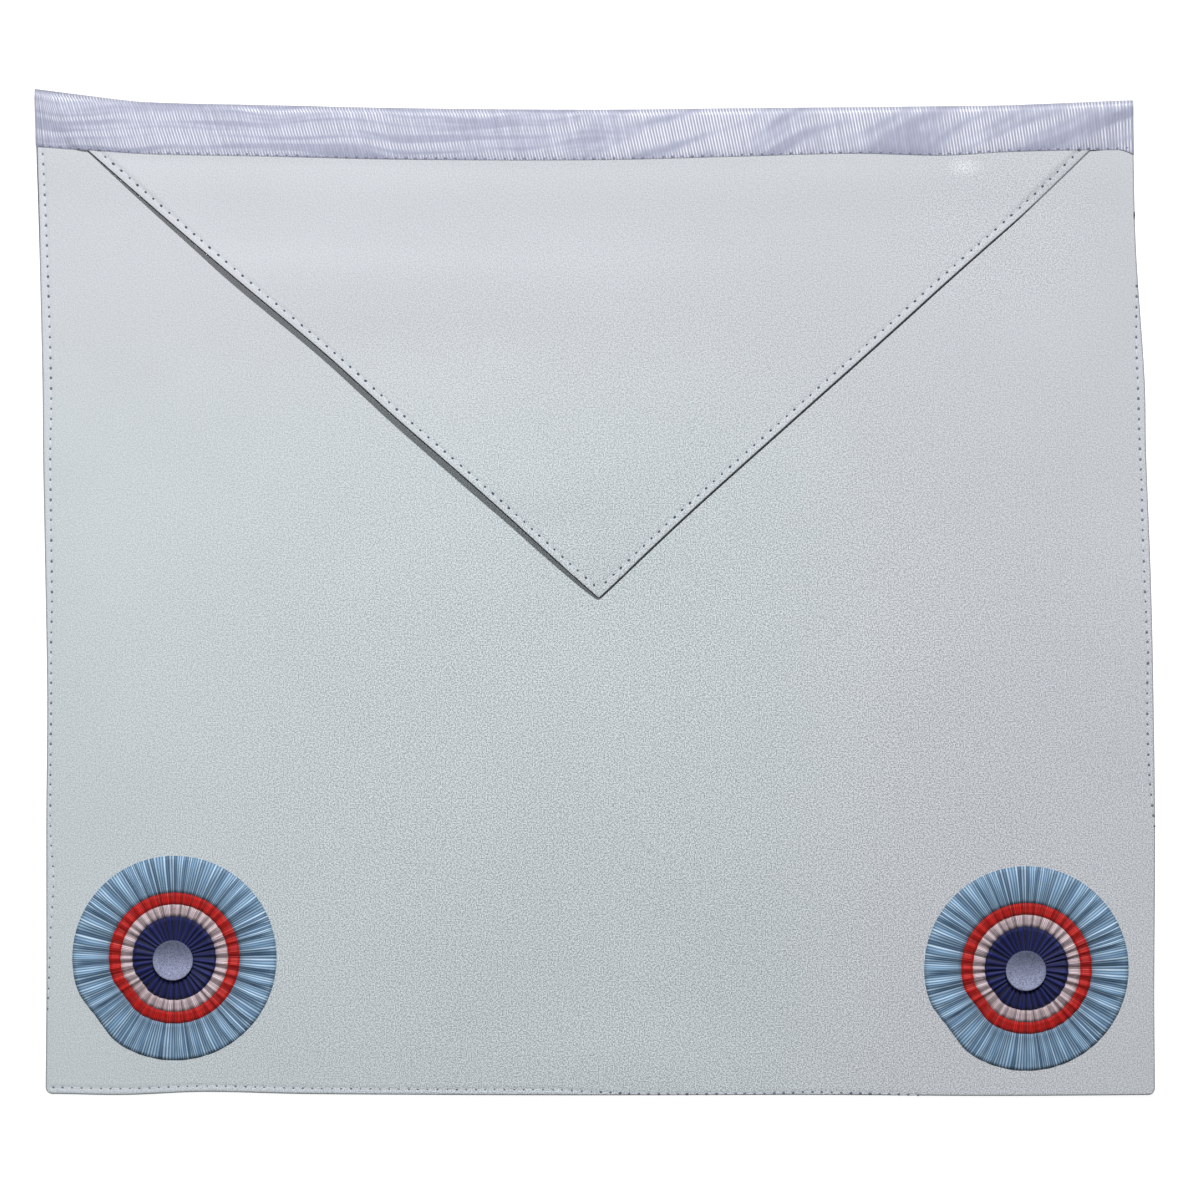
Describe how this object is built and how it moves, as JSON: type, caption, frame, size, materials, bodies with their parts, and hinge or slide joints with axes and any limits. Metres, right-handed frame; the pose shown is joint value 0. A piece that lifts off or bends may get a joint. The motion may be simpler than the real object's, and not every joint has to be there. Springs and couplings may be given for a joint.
{
  "type": "masonic apron",
  "caption": "Flat ceremonial leather apron with a triangular flap, a ribbon-bound waist edge and a pleated ribbon rosette with a covered button at each lower corner.",
  "frame": {"origin": "middle of the apron's outline, on the surface that its back lies on", "axes": "+Z out of the front, +Y up to the waist edge, +X to the right as the front is seen"},
  "size_m": [0.409, 0.3678, 0.0056],
  "materials": {
    "apron_leather": "pale cool grey grained leather, satin",
    "binding_ribbon": "lavender-white ribbed ribbon with a watered sheen",
    "sky_ribbon": "sky blue ribbed ribbon, soft sheen",
    "red_ribbon": "bright red ribbed ribbon, soft sheen",
    "white_ribbon": "off-white ribbed ribbon, soft sheen",
    "navy_ribbon": "navy ribbed ribbon, soft sheen",
    "button_cloth": "pale lavender-grey satin cloth over a domed button"
  },
  "bodies": {
    "root": {"apron_body": "apron_leather", "flap": "apron_leather", "waist_ribbon": "binding_ribbon", "rosette_left_sky_ribbon": "sky_ribbon", "rosette_left_red_ribbon": "red_ribbon", "rosette_left_white_ribbon": "white_ribbon", "rosette_left_navy_ribbon": "navy_ribbon", "rosette_left_button": "button_cloth", "rosette_right_sky_ribbon": "sky_ribbon", "rosette_right_red_ribbon": "red_ribbon", "rosette_right_white_ribbon": "white_ribbon", "rosette_right_navy_ribbon": "navy_ribbon", "rosette_right_button": "button_cloth"}
  },
  "joints": []
}
